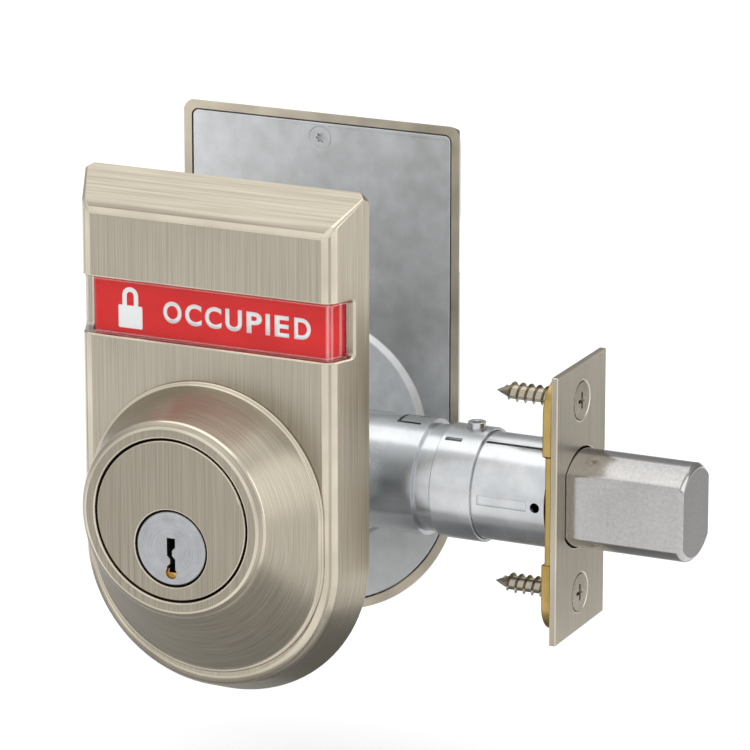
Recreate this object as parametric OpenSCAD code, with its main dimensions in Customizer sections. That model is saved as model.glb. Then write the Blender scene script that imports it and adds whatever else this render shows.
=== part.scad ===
// Keyed tubular deadbolt with an occupied or vacant window on each side of the door.
// X runs towards the door's edge, -Y is the outside, +Y the room, and Z is up.
// The origin is the centre of the door's cross bore, on the bolt's axis.
// The bolt is thrown and both windows show red.

/* [Door] */
// Door thickness between the two escutcheons
door_t = 44.45; // [40:0.05:46]
// Distance from the faceplate's front to the spindle axis
backset = 69.85; // [66:0.05:74]

/* [Escutcheons] */
// Width at the door face
trim_w = 64.5; // [63:0.5:72]
// Depth from the door face to the front face
trim_depth = 9.9; // [9.5:0.1:12]
// Height of the top edge above the label carrier
top_gap = 8.7; // [8.3:0.1:16]
// Lean of each side between the back and the front
side_draft = 4.05; // [3:0.05:4.5]
// Lean of the top between the back and the front
top_draft = 6.1; // [4:0.1:7]
// Radius of the two top corners
trim_corner = 3.2; // [2:0.1:5]
// Width of the bevel round the front face
trim_edge = 1.2; // [0.3:0.1:1.4]
// Wall thickness
trim_wall = 2; // [1.6:0.1:2.2]
// Height of the inside escutcheon above the outside one
inside_rise = 4; // [0:0.1:4.5]

/* [Window] */
// Lower edge of the window above the centre of the round end
window_z = 44.35; // [44:0.05:45]
// Height of the window
window_h = 12.05; // [10:0.05:12.2]
// Distance from the door face to the window's ends
window_end = 3.7; // [3:0.1:5]
// Thickness of the clear lens
lens_t = 1.5; // [1:0.1:1.6]
// Depth of the lens below the face
lens_sink = 0.35; // [0.2:0.05:0.5]
// Thickness of the printed labels
label_t = 0.3; // [0.2:0.05:0.4]
// Wall thickness of the label carrier
carrier_t = 1.2; // [1:0.1:1.6]
// Travel of the labels between red and green
label_travel = 12.5; // [12.4:0.1:12.6]

/* [Back plates] */
// Thickness of the back plates
plate_t = 2; // [1.5:0.1:2.5]
// Rim of the escutcheon round the back plate
plate_rim = 1.85; // [1.5:0.05:2]
// Gap round the back plate
plate_gap = 0.3; // [0.1:0.05:0.5]
// Radius of the round spigot that enters the cross bore
spigot_r = 25; // [24:0.1:26]
// Height of the spigot
spigot_h = 1.2; // [0.8:0.1:1.6]
// Gap between the label carrier and the upper screw post
plate_post_gap = 0.6; // [0.5:0.1:0.8]
// Distance of the lower plate screw below the centre of the round end
plate_screw_low = 24.5; // [24:0.1:26]
// Head radius of the plate screws
plate_screw_head = 2.5; // [2:0.1:2.6]
// Radius of the plate screws
plate_screw_r = 1.05; // [0.9:0.05:1.2]
// Radius of the posts that take the plate screws
plate_post_r = 2.6; // [2.2:0.1:2.8]

/* [Cylinder] */
// Height of the cylinder's axis above the plug's axis
plug_offset = 5.95; // [5.5:0.05:6.2]
// Height of the cylinder's axis above the centre of the round end
ring_rise = 12; // [11.5:0.1:12.5]
// Outer radius of the boss's front ring
ring_r = 20.8; // [20.5:0.1:22]
// Distance from the door face to the front ring
ring_v = 26.3; // [26:0.1:30]
// Half width of the boss at its foot
boss_r = 26.9; // [26.5:0.1:27]
// Lower centre of the boss's oval foot above the centre of the round end
boss_low = 1.7; // [1:0.1:2]
// Upper centre of the boss's oval foot above the centre of the round end
boss_high = 10.3; // [9.5:0.1:12]
// Radius of the cylinder's face
face_r = 17.2; // [16.5:0.1:17.5]
// Radius of the cylinder's body behind the face
body_r = 18.6; // [18.2:0.1:18.8]
// Radius of the cylinder's short rear end in the back plate
rear_r = 15.8; // [15.4:0.1:16]
// Radius of the plug's body
plug_r = 6.35; // [6:0.05:6.5]
// Radius of the plug's flange
plug_face_r = 8.05; // [7.8:0.05:8.3]
// Radius of the pin chambers
pin_bore_r = 1.5; // [1.3:0.05:1.7]
// Spacing of the pin chambers
pin_pitch = 3.9; // [3.6:0.1:4]

/* [Thumbturn] */
// Outer radius of the inside boss at its front
rose_ring_r = 21; // [20.6:0.1:22]
// Outer radius of the inside boss at its foot
rose_foot_r = 23; // [22.5:0.1:23.1]
// Distance from the door face to the inside boss's front
rose_v = 24.5; // [23:0.1:28]
// Radius of the rose
rose_r = 19.35; // [19:0.05:19.6]
// Thickness of the rose
rose_t = 5.8; // [5:0.1:7]
// Radius of the thumbturn's shaft
turn_shaft_r = 6; // [5.5:0.1:6.5]
// Length of the thumbturn's grip
turn_len = 34; // [28:1:38]
// Thickness of the thumbturn's grip
turn_t = 7; // [5:0.5:9]
// Reach of the thumbturn's grip from the rose
turn_reach = 17; // [14:0.5:22]

/* [Tailpiece and cranks] */
// Width of the flat tailpiece
tail_w = 5.6; // [5:0.1:5.8]
// Thickness of the flat tailpiece
tail_t = 2; // [1.6:0.1:2.2]
// Radius of the crank pins that move the labels
label_pin_r = 1.3; // [1:0.1:1.4]
// Gap between the lowered label carrier and the upper through bolt
through_gap = 0.35; // [0.3:0.05:0.8]
// Lower through bolt's depth below the bolt's axis
lower_bolt_z = 21.5; // [21:0.1:21.8]
// Radius of the through bolts
through_r = 2; // [1.8:0.1:2.2]
// Head radius of the through bolts
through_head_r = 3.6; // [3.2:0.1:3.8]
// Head height of the lower through bolt
through_head_t = 2.4; // [2:0.1:2.6]
// Radius of the posts that take the through bolts
through_post_r = 3; // [2.8:0.1:3.2]
// Length of the posts that take the through bolts
through_post_len = 8; // [6:0.5:9]

/* [Bolt] */
// Bolt's projection from the faceplate
bolt_out = 25.4; // [24.8:0.1:26]
// Bolt's travel
bolt_throw = 24.5; // [24:0.1:24.8]
// Half thickness of the bolt between its flats
bolt_half = 7.9; // [7:0.1:8.2]
// Bevel at the bolt's end
bolt_bevel = 0.9; // [0.5:0.1:1.5]
// Outer radius of the front tube
tube_r = 11.25; // [10.6:0.05:12]
// Wall thickness of the front tube
tube_wall = 0.85; // [0.7:0.05:1]
// Gap between the bolt's round edges and the front tube
bolt_fit = 0.1; // [0.05:0.01:0.2]
// Wall thickness of the backset collar
collar_wall = 0.7; // [0.5:0.05:1]
// Wall thickness of the rear housing
housing_wall = 0.9; // [0.7:0.05:1.2]
// Half width of the flat-sided cam case
case_half = 5; // [4.9:0.1:5.2]
// Wall thickness of the cam case
case_wall = 1; // [0.8:0.1:1.1]
// Radius of the bolt crank's hub
hub_r = 3.8; // [3.6:0.1:3.9]
// Gap under the hub in the cam case
hub_gap = 0.8; // [0.5:0.1:1]
// Radius of the bolt crank's pin
crank_pin_r = 1.5; // [1.2:0.1:1.6]

/* [Faceplate] */
// Height of the faceplate
face_h = 57.15; // [55:0.05:60]
// Width of the faceplate
face_w = 25.4; // [25:0.1:29]
// Thickness of the faceplate
face_t = 1.5; // [1.2:0.1:2]
// Distance between the faceplate's screws
face_screw_gap = 41.3; // [40.5:0.1:42]
// Thickness of the brass backing plate at its ends
backing_t = 2; // [1.8:0.1:2.2]
// Thickness of the brass backing plate in its middle
backing_mid_t = 1.4; // [1:0.1:1.6]
// Length of the faceplate's screws
screw_len = 19; // [16:0.5:25]
// Head radius of the faceplate's screws
screw_head_r = 4.2; // [3.8:0.1:4.5]
// Thread radius of the faceplate's screws
screw_r = 2.15; // [2:0.05:2.3]

/* [Fits] */
// Radial clearance of a running fit
run = 0.05; // [0.03:0.01:0.08]
// Clearance between loose pieces
loose = 0.15; // [0.1:0.05:0.2]
// Clearance between pieces that slide past each other
slide = 0.3; // [0.25:0.05:0.35]

/* [Hidden] */
$fn = 64;

nickel = [0.68, 0.65, 0.58];
zinc = [0.77, 0.79, 0.80];
steel = [0.69, 0.68, 0.67];
brass = [0.78, 0.62, 0.32];
red = [0.82, 0.15, 0.15];
green = [0.13, 0.55, 0.27];
white = [0.92, 0.92, 0.90];
clear = [0.85, 0.90, 0.92, 0.35];
far = 200;
skin = 0.01;

// Bolt, collar and housing, one round the other
bolt_r = tube_r - tube_wall - bolt_fit;
collar_r = tube_r + run + collar_wall;
housing_r = tube_r + run + housing_wall;

// Heights of the axes and of the two round ends
spindle_z = hub_r + hub_gap + case_wall - housing_r;
cylinder_z = spindle_z + plug_offset;
outside_z = cylinder_z - ring_rise;
inside_z = outside_z + inside_rise;

// Depths inside an escutcheon, measured out from the door face
cavity_v = trim_depth - trim_wall;
seat_v = 17;
plug_step_v = ring_v - 2.3;
plug_front_v = ring_v - 0.1;
pocket_r = body_r + slide;
rose_seat_v = rose_v - rose_t;
rose_front_v = rose_v - 0.2;
through_head_v = rose_front_v - 3;

// Window, labels and carrier
label_inset = trim_wall + slide;
carrier_inset = label_inset + label_t;
lens_end = window_end + 1.3;
label_end = window_end + 0.7;
carrier_end = plate_t + 0.8;
label_low = window_z - 0.25;
carrier_low = label_low - 0.2;
carrier_high = label_low + 2 * label_travel + 0.1;
trim_top = carrier_high + top_gap;
upper_bolt_z = inside_z + carrier_low - label_travel - through_gap - through_r;

// Label cranks: the pin swings 45 degrees either side of level, on the -X side
label_crank_r = label_travel / 2 / sin(45);
label_swing = label_travel / 2;
fork_z = spindle_z + label_swing;
fork_half = 3;
fork_front = -2.65;
fork_back = fork_front - carrier_t;
crank_front = fork_back - slide;
crank_t = 1.5;
// Largest difference between the pin's arc and an even travel, at 25.8 degrees
label_slack = label_crank_r * sin(25.8) - label_swing * 25.8 / 45;
leg_x = body_r + 0.5;
leg_w = 2.7;
leg_t = 2.1;

// Bolt crank: the pin swings 45 degrees either side of upright
crank_r = bolt_throw / 2 / sin(45);
crank_swing = bolt_throw / 2;
crank_pin_z = spindle_z + crank_swing;
bolt_slack = crank_r * sin(25.8) - crank_swing * 25.8 / 45;
arm_half = 1.5;
arm_w = 2.6;
cheek_in = arm_half + slide;
cheek_out = cheek_in + 1.5;
crank_pin_half = cheek_out + 0.1;
yoke_half = crank_pin_r + bolt_slack + loose;

// Stations along the bolt's axis, most of them behind the faceplate's front
bolt_inside = 26;
tongue_len = 10;
collar_back = 29;
housing_back = 33;
tube_back = 44;
vent_gap = 2.1;
face_back = backset - face_t;
backing_back = face_back - backing_t;
bolt_rear = backset - bolt_inside;
tongue_rear = bolt_rear - tongue_len;
collar_x = backset - collar_back;
collar_len = 9.1;
housing_front = backset - housing_back;
case_front = 17;
case_rear = -17.5;
tube_rear = backset - tube_back;

// Pieces on the outside face: -Y leads away from the door
module outside() {
    translate([0, -door_t / 2, 0]) children();
}

// The same pieces mirrored to the room side
module inside() {
    mirror([0, 1, 0]) outside() children();
}

// A round bar that runs out from the door between two depths
module bar(r, v0, v1, x = 0, z = 0, r2 = -1) {
    translate([x, -v0, z])
        rotate([90, 0, 0])
            cylinder(h = v1 - v0, r1 = r, r2 = r2 < 0 ? r : r2);
}

// A flat outline, drawn as seen from outside, between two depths
module slab(v0, v1) {
    translate([0, -v0, 0])
        rotate([90, 0, 0])
            linear_extrude(v1 - v0) children();
}

// A block between two depths
module block(x0, x1, v0, v1, z0, z1) {
    translate([x0, -v1, z0]) cube([x1 - x0, v1 - v0, z1 - z0]);
}

// A round bar along X
module rod(r, x0, x1, y = 0, z = 0, r2 = -1) {
    translate([x0, y, z])
        rotate([0, 90, 0])
            cylinder(h = x1 - x0, r1 = r, r2 = r2 < 0 ? r : r2);
}

// Half width and height of an escutcheon at a depth, with its faces moved in
function lean(draft) = sqrt(1 + pow(draft / trim_depth, 2));
function trim_half(v, inset = 0) = trim_w / 2 - side_draft * v / trim_depth - inset * lean(side_draft);
function trim_high(v, inset = 0) = trim_top - top_draft * v / trim_depth - inset * lean(top_draft);

// Drafted solid with a flat sloping top and a round lower end
module trim_form(v0, v1, inset, edge) {
    vm = v1 - edge;
    sides = [
        [trim_half(v0, inset), v0],
        [trim_half(vm, inset), vm],
        [trim_half(v1, inset) - edge, v1]
    ];
    wide = sides[0][0] + 1;
    intersection() {
        linear_extrude(trim_top)
            polygon(concat(
                [for (p = sides) [p[0], -p[1]]],
                [for (i = [2:-1:0]) [-sides[i][0], -sides[i][1]]]
            ));
        rotate([90, 0, 90])
            linear_extrude(2 * wide, center = true)
                polygon([
                    [-v0, -1],
                    [-v0, trim_high(v0, inset)],
                    [-vm, trim_high(vm, inset)],
                    [-v1, trim_high(v1, inset) - edge],
                    [-v1, -1]
                ]);
    }
    intersection() {
        rotate([90, 0, 0])
            rotate_extrude()
                polygon(concat([[0, v0]], sides, [[0, v1]]));
        block(-wide, wide, v0 - 1, v1 + 1, -wide, 0);
    }
}

// Flat outline of a back plate or of its recess
module plate_outline(rim, corner) {
    half = trim_w / 2 - rim;
    high = trim_top - rim;
    circle(half);
    translate([-half, 0]) square([2 * half, high - corner]);
    translate([corner - half, 0]) square([2 * (half - corner), high]);
    for (side = [-1, 1])
        translate([side * (half - corner), high - corner]) circle(corner);
}

// What is cut away outside the two rounded top corners
module corner_cut() {
    ease = 0.15;
    for (side = [-1, 1])
        translate([side * (trim_w / 2 - trim_corner + ease), trim_top - trim_corner + ease])
            difference() {
                translate([side < 0 ? -trim_corner : 0, 0]) square(trim_corner);
                circle(trim_corner);
            }
}

// Window slot across the front and both sides, with rounded ends
module window_cut() {
    corner = 0.9;
    reach = trim_depth + 2;
    rotate([90, 0, 90])
        linear_extrude(trim_w + 4, center = true)
            union() {
                translate([-reach, window_z]) square([reach - window_end - corner, window_h]);
                translate([-reach, window_z + corner])
                    square([reach - window_end, window_h - 2 * corner]);
                for (z = [window_z + corner, window_z + window_h - corner])
                    translate([-window_end - corner, z]) circle(corner);
            }
}

// Bent band that follows the front and both sides between two insets
module u_band(outer, inner, end, z0, z1, edge) {
    vo = trim_depth - outer;
    vi = trim_depth - inner;
    path = [
        [trim_half(end, outer), -end],
        [trim_half(vo - edge, outer), edge - vo],
        [trim_half(vo, outer) - edge, -vo]
    ];
    back = [
        [trim_half(vi, inner), -vi],
        [trim_half(end, inner), -end]
    ];
    translate([0, 0, z0])
        linear_extrude(z1 - z0)
            polygon(concat(
                path,
                [for (i = [2:-1:0]) [-path[i][0], path[i][1]]],
                [for (i = [1:-1:0]) [-back[i][0], back[i][1]]],
                back
            ));
}

// Escutcheon wall, open at the back, without its boss
module trim_cut() {
    slab(-1, plate_t) plate_outline(plate_rim, 1.6);
    trim_form(plate_t - skin, cavity_v, trim_wall, skin);
    window_cut();
    slab(-1, trim_depth + 1) corner_cut();
}

// Heights of the two plate screws, and how far they reach
plate_screw_z = [carrier_high + plate_post_gap + plate_post_r, -plate_screw_low];
plate_screw_v = plate_t + 2.6;
plate_sink = 1.4;

// Posts that take the plate screws
module screw_posts() {
    intersection() {
        for (z = plate_screw_z)
            bar(plate_post_r, plate_t, cavity_v + 0.5, 0, z);
        trim_form(0, trim_depth, trim_edge, skin);
    }
}

module screw_holes() {
    for (z = plate_screw_z)
        bar(plate_screw_r + run, plate_t - 1, plate_screw_v + 0.4, 0, z);
}

// Foot of the outside boss: a short oval
module oval(r, v0, v1) {
    for (z = [boss_low, boss_high])
        bar(r, v0, v1, 0, z, $fn = 48);
}

// Thin disc of the boss's front ring
module ring_disc(r, v) {
    bar(r, v - skin, v, 0, ring_rise, $fn = 48);
}

module outside_escutcheon() {
    color(nickel)
        outside()
            translate([0, 0, outside_z])
                difference() {
                    union() {
                        difference() {
                            trim_form(0, trim_depth, 0, trim_edge);
                            trim_cut();
                        }
                        screw_posts();
                    }
                    screw_holes();
                    bar(pocket_r, cavity_v - 1, trim_depth + 1, 0, ring_rise);
                }
}

// Tapered guard that the cylinder's shoulder clamps to the escutcheon's face
module cylinder_collar() {
    plinth = 0.8;
    color(nickel)
        outside()
            translate([0, 0, outside_z])
                difference() {
                    union() {
                        hull() oval(boss_r, trim_depth, trim_depth + plinth);
                        hull() {
                            oval(boss_r - plinth, trim_depth + plinth / 2, trim_depth + plinth);
                            ring_disc(ring_r, ring_v - trim_edge);
                            ring_disc(ring_r - trim_edge, ring_v);
                        }
                    }
                    bar(pocket_r, trim_depth - 1, seat_v, 0, ring_rise);
                    bar(face_r + loose, seat_v - 1, ring_v + 1, 0, ring_rise);
                }
}

module inside_escutcheon() {
    ledge = 1.15;
    color(nickel)
        inside()
            difference() {
                union() {
                    difference() {
                        union() {
                            translate([0, 0, inside_z]) trim_form(0, trim_depth, 0, trim_edge);
                            rose_boss();
                        }
                        translate([0, 0, inside_z]) trim_cut();
                    }
                    translate([0, 0, inside_z]) screw_posts();
                }
                translate([0, 0, inside_z]) screw_holes();
                bar(rose_r - ledge, cavity_v - 1, rose_seat_v + 1, 0, spindle_z);
                bar(rose_r + loose, rose_seat_v, rose_v + 1, 0, spindle_z);
                bolt_sink(loose);
            }
}

// Turned boss round the thumbturn
module rose_boss() {
    translate([0, 0, spindle_z])
        rotate([90, 0, 0])
            rotate_extrude()
                polygon([
                    [0, trim_depth - 0.5],
                    [rose_foot_r, trim_depth - 0.5],
                    [rose_ring_r, rose_v - trim_edge],
                    [rose_ring_r - trim_edge, rose_v],
                    [0, rose_v]
                ]);
}

// Countersunk form of the upper through bolt's head, in the inside face
sink_t = 1.7;

module bolt_sink(extra) {
    bar(through_r + extra, -1, trim_depth + 1, 0, upper_bolt_z);
    bar(through_r + extra, trim_depth - sink_t, trim_depth, 0, upper_bolt_z, through_head_r + extra);
}

module lens() {
    u_band(lens_sink, lens_sink + lens_t, lens_end, window_z + 0.1, window_z + window_h - 0.1, 0.6);
}

module outside_lens() {
    color(clear) outside() translate([0, 0, outside_z]) lens();
}

module inside_lens() {
    color(clear) inside() translate([0, 0, inside_z]) lens();
}

// Label holder with the leg and fork that a crank pin moves
module carrier(centre_z) {
    slot_half = label_pin_r + label_slack + loose;
    difference() {
        union() {
            translate([0, 0, centre_z])
                u_band(carrier_inset, carrier_inset + carrier_t, carrier_end, carrier_low, carrier_high, 0.6);
            block(
                -leg_x - leg_w, -leg_x, trim_depth - carrier_inset - carrier_t - leg_t,
                trim_depth - carrier_inset - carrier_t + skin,
                fork_z - fork_half, centre_z + carrier_low + 6
            );
            block(
                -leg_x - leg_w, -leg_x, fork_back, trim_depth - carrier_inset - carrier_t,
                fork_z - fork_half, fork_z + fork_half
            );
            block(
                -leg_x - leg_w, -tail_w / 2 - 1.4, fork_back, fork_front,
                fork_z - fork_half, fork_z + fork_half
            );
        }
        block(
            -label_crank_r - label_pin_r - 0.4, 0, fork_back - 1, fork_front + 1,
            fork_z - slot_half, fork_z + slot_half
        );
    }
}

module outside_carrier() {
    color(white) outside() carrier(outside_z);
}

module inside_carrier() {
    color(white) inside() carrier(inside_z);
}

module label(low) {
    u_band(label_inset, carrier_inset, label_end, low, low + label_travel, 0.6);
}

module outside_red_label() {
    color(red) outside() translate([0, 0, outside_z]) label(label_low);
}

module outside_green_label() {
    color(green) outside() translate([0, 0, outside_z]) label(label_low + label_travel);
}

module inside_red_label() {
    color(red) inside() translate([0, 0, inside_z]) label(label_low);
}

module inside_green_label() {
    color(green) inside() translate([0, 0, inside_z]) label(label_low + label_travel);
}

// Back plate with its spigot, before its own holes
module plate_blank(centre_z) {
    spigot_bevel = 1;
    difference() {
        union() {
            translate([0, 0, centre_z]) slab(0, plate_t) plate_outline(plate_rim + plate_gap, 1.3);
            bar(spigot_r - spigot_bevel, -spigot_h, skin, 0, 0, spigot_r);
        }
        for (z = plate_screw_z)
            translate([0, 0, centre_z]) {
                bar(plate_screw_head + run, -skin, plate_sink, 0, z, plate_screw_r + run);
                bar(plate_screw_r + run, 1, plate_t + 1, 0, z);
            }
        block(
            -leg_x - leg_w - 0.4, 0.4 - leg_x, -spigot_h - 1, plate_t + 1,
            fork_z - label_travel - fork_half - 0.4, fork_z + fork_half + 0.4
        );
    }
}

module outside_back_plate() {
    color(zinc)
        outside()
            difference() {
                union() {
                    plate_blank(outside_z);
                    for (z = [upper_bolt_z, -lower_bolt_z])
                        bar(through_post_r, -through_post_len, plate_t, 0, z);
                }
                bar(rear_r + loose, -spigot_h - 1, plate_t + 1, 0, cylinder_z);
                for (z = [upper_bolt_z, -lower_bolt_z])
                    bar(through_r + run, -through_post_len - 1, plate_t + 1, 0, z);
            }
}

module inside_back_plate() {
    color(zinc)
        inside()
            difference() {
                plate_blank(inside_z);
                bar(turn_shaft_r - 1, -spigot_h - 1, plate_t + 1, 0, spindle_z);
                for (z = [upper_bolt_z, -lower_bolt_z])
                    bar(through_r + loose, -spigot_h - 1, plate_t + 1, 0, z);
            }
}

// Two flat-headed screws with a six-lobed recess
module plate_screws(centre_z) {
    lobe = 0.85;
    deep = 0.9;
    for (z = plate_screw_z)
        translate([0, 0, centre_z + z])
            difference() {
                union() {
                    bar(plate_screw_head, 0, plate_sink, 0, 0, plate_screw_r);
                    bar(plate_screw_r, plate_sink - skin, plate_screw_v);
                }
                bar(lobe - 0.1, -1, deep);
                for (turn = [0:60:300])
                    bar(0.25, -1, deep, lobe * cos(turn), lobe * sin(turn));
            }
}

module outside_plate_screws() {
    color(zinc) outside() plate_screws(outside_z);
}

module inside_plate_screws() {
    color(zinc) inside() plate_screws(inside_z);
}

// Depths of the five pin chambers
pin_depths = [for (i = [0:4]) plug_front_v - 6 - i * pin_pitch];
cover_drop = 7.05;
cover_half = 2.1;
cover_t = 1.5;
chamber_top = cylinder_z + body_r - cover_drop;
cover_end = pin_depths[0] + cover_half;

module cylinder_shell() {
    color(nickel)
        outside()
            difference() {
                translate([0, 0, cylinder_z])
                    rotate([90, 0, 0])
                        rotate_extrude()
                            polygon([
                                [0, 0],
                                [rear_r, 0],
                                [rear_r, plate_t],
                                [body_r, plate_t],
                                [body_r, seat_v],
                                [face_r, seat_v],
                                [face_r, plug_front_v - 0.3],
                                [face_r - 0.3, plug_front_v],
                                [0, plug_front_v]
                            ]);
                bar(plug_r + run, -1, ring_v + 1, 0, spindle_z);
                bar(plug_face_r + loose, plug_step_v, ring_v + 1, 0, spindle_z);
                for (v = pin_depths)
                    translate([0, -v, spindle_z]) cylinder(r = pin_bore_r, h = chamber_top - spindle_z + skin);
                block(
                    -cover_half - run, cover_half + run, -1, cover_end + loose,
                    chamber_top, chamber_top + cover_t + 2 * run
                );
            }
}

module spring_cover() {
    color(brass)
        outside()
            block(-cover_half, cover_half, 0.4, cover_end, chamber_top, chamber_top + cover_t);
}

// Warded outline of the keyway, about the plug's axis
module keyway_outline() {
    polygon([
        [-0.9, 2.2], [0.9, 2.2], [0.9, 0.4], [0.2, -0.3], [0.2, -1.5], [0.9, -2.2],
        [0.9, -5.2], [-0.9, -5.2], [-0.9, -3.9], [-0.2, -3.2], [-0.2, -2.2], [-0.9, -1.5]
    ]);
}

module key_plug() {
    color(steel)
        outside()
            difference() {
                union() {
                    bar(plug_r, -0.1, plug_step_v + 1, 0, spindle_z);
                    bar(plug_face_r, plug_step_v + 0.1, plug_front_v - 0.4, 0, spindle_z);
                    bar(plug_face_r, plug_front_v - 0.4, plug_front_v, 0, spindle_z, plug_face_r - 0.4);
                }
                translate([0, 0, spindle_z]) slab(2, ring_v + 1) keyway_outline();
                bar(1.2, plug_front_v - 1.2, ring_v, 0, spindle_z - 5.2);
                for (v = pin_depths)
                    translate([0, -v, spindle_z + 1]) cylinder(r = pin_bore_r, h = plug_r);
            }
}

// Heights of the lower pins' tips on a cut key
pin_tips = [1.6, 2.6, 1.2, 2.2, 3];
pin_r = pin_bore_r - 0.1;
shear_low = plug_r - 0.25;
shear_high = plug_r + loose;
driver_len = 4.5;

module bottom_pins() {
    color(brass)
        outside()
            for (i = [0:4])
                translate([0, -pin_depths[i], spindle_z + pin_tips[i]]) {
                    cylinder(r1 = 0.5, r2 = pin_r, h = 0.9);
                    translate([0, 0, 0.9]) cylinder(r = pin_r, h = shear_low - pin_tips[i] - 0.9);
                }
}

module driver_pins() {
    color(brass)
        outside()
            for (v = pin_depths)
                translate([0, -v, spindle_z + shear_high]) cylinder(r = pin_r, h = driver_len);
}

module pin_springs() {
    low = spindle_z + shear_high + driver_len;
    color(steel)
        outside()
            for (v = pin_depths)
                translate([0, -v, low])
                    difference() {
                        cylinder(r = pin_r - 0.1, h = chamber_top - low);
                        translate([0, 0, -1]) cylinder(r = pin_r - 0.5, h = chamber_top - low + 2);
                    }
}

// Depths of the cap behind the plug, and of the tailpiece's round head in it
cap_back = fork_front + 0.25;
head_back = cap_back + 1;

module plug_cap() {
    color(brass)
        outside()
            difference() {
                bar(plug_face_r - 0.55, cap_back, -0.1, 0, spindle_z);
                bar(plug_r - 0.95, head_back - 0.2, 0, 0, spindle_z);
                bar(tail_w / 2 + 0.8, cap_back - 1, 0, 0, spindle_z);
            }
}

// Flat bar with a round head, along the spindle axis
tail_end_v = 12;

module tailpiece() {
    color(steel) {
        outside() bar(plug_r - 1.15, head_back, -0.3, 0, spindle_z);
        translate([-tail_t / 2, -door_t / 2 + 0.3, spindle_z - tail_w / 2])
            cube([tail_t, door_t + tail_end_v - 0.3, tail_w]);
    }
}

// Slot that a piece needs to ride on the tailpiece
module tail_slot(v0, v1) {
    block(
        -tail_t / 2 - run, tail_t / 2 + run, v0, v1,
        spindle_z - tail_w / 2 - run, spindle_z + tail_w / 2 + run
    );
}

// Flat crank with the pin that moves a label carrier
module label_crank() {
    pin_x = -label_swing;
    arm_wide = 3.4;
    back = crank_front - crank_t;
    difference() {
        union() {
            translate([0, 0, spindle_z])
                slab(back, crank_front)
                    union() {
                        circle(5);
                        rotate(135) translate([0, -arm_wide / 2]) square([label_crank_r, arm_wide]);
                        translate([pin_x, label_swing]) circle(2.1);
                    }
            bar(label_pin_r, back + 0.2, fork_front + loose, pin_x, fork_z);
        }
        tail_slot(back - 1, crank_front + 1);
    }
}

module outside_crank() {
    color(zinc) outside() label_crank();
}

module inside_crank() {
    color(zinc) inside() label_crank();
}

module thumbturn_rose() {
    front = rose_front_v;
    color(nickel)
        inside()
            difference() {
                union() {
                    bar(rose_r, rose_seat_v, front - 0.4, 0, spindle_z);
                    bar(rose_r, front - 0.4, front, 0, spindle_z, rose_r - 0.4);
                    bar(turn_shaft_r + 2.5, rose_seat_v - 4, rose_seat_v + skin, 0, spindle_z);
                }
                bar(turn_shaft_r + run, 0, rose_v + 1, 0, spindle_z);
                bar(through_r + loose, 0, rose_v + 1, 0, -lower_bolt_z);
                bar(through_head_r + loose, through_head_v, rose_v + 1, 0, -lower_bolt_z);
            }
}

// Groove for the clip, just behind the rose's bush
clip_v = rose_seat_v - 4 - loose;
clip_t = 1;

// Shaft, collar and a waisted grip that stands upright when the bolt is thrown
module thumbturn() {
    front = rose_front_v + loose;
    grip_v = front + 2;
    color(nickel)
        inside()
            difference() {
                union() {
                    bar(turn_shaft_r, plate_t + 0.6, front + 1, 0, spindle_z);
                    bar(turn_shaft_r + 3, front, grip_v, 0, spindle_z, turn_shaft_r + 2.2);
                    translate([0, 0, spindle_z])
                        hull()
                            for (end = [-1, 1]) {
                                bar(turn_t / 2, grip_v - 0.5, grip_v, 0, end * 7, $fn = 32);
                                bar(turn_t / 2 - 1, grip_v, front + turn_reach - 1, 0,
                                    end * (turn_len / 2 - turn_t / 2), $fn = 32);
                                bar(turn_t / 2 - 1.8, grip_v, front + turn_reach, 0,
                                    end * (turn_len / 2 - turn_t / 2), $fn = 32);
                            }
                }
                tail_slot(0, tail_end_v + loose);
                difference() {
                    bar(turn_shaft_r + 1, clip_v - clip_t - run, clip_v, 0, spindle_z);
                    bar(turn_shaft_r - 1, 0, clip_v + 1, 0, spindle_z);
                }
            }
}

module thumbturn_clip() {
    color(steel)
        inside()
            difference() {
                bar(turn_shaft_r + 2, clip_v - clip_t, clip_v - run, 0, spindle_z);
                bar(turn_shaft_r - 1 + run, 0, clip_v + 1, 0, spindle_z);
                block(-1.5, 1.5, 0, clip_v + 1, spindle_z - turn_shaft_r - 3, spindle_z);
            }
}

// A Phillips recess cut in from a head's face
module cross_cut(v, deep) {
    wide = 3.6;
    for (turn = [0, 90])
        translate([0, -v, 0])
            rotate([0, turn, 0])
                translate([-wide / 2, -1, -0.45]) cube([wide, deep + 1, 0.9]);
}

module through_bolts() {
    tip_v = plate_t - 0.5;
    shank = door_t + tip_v;
    color(steel)
        inside() {
            difference() {
                union() {
                    bar(through_r, trim_depth - sink_t, trim_depth, 0, upper_bolt_z, through_head_r);
                    bar(through_r, -shank, trim_depth - sink_t + skin, 0, upper_bolt_z);
                }
                translate([0, 0, upper_bolt_z]) cross_cut(trim_depth, 1);
            }
            difference() {
                union() {
                    bar(through_head_r, through_head_v, through_head_v + through_head_t, 0, -lower_bolt_z);
                    bar(through_r, -shank, through_head_v + 0.5, 0, -lower_bolt_z);
                }
                translate([0, 0, -lower_bolt_z]) cross_cut(through_head_v + through_head_t, 1.4);
            }
        }
}

// Bolt's round-edged outline, seen along X
module bolt_outline(extra) {
    intersection() {
        circle(bolt_r + extra);
        square([2 * (bolt_r + extra), 2 * (bolt_half + extra)], center = true);
    }
}

// Extrudes an outline along X, with its first axis down and its second across
module along_x(x0, x1) {
    translate([x0, 0, 0])
        rotate([0, 90, 0])
            linear_extrude(x1 - x0) children();
}

// Plate across the door's edge with the bolt's hole and the screws' countersinks
module edge_plate_cut() {
    along_x(backset - 10, backset + 5) bolt_outline(slide);
    for (side = [-1, 1])
        screw_form(side * face_screw_gap / 2, run);
}

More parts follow.
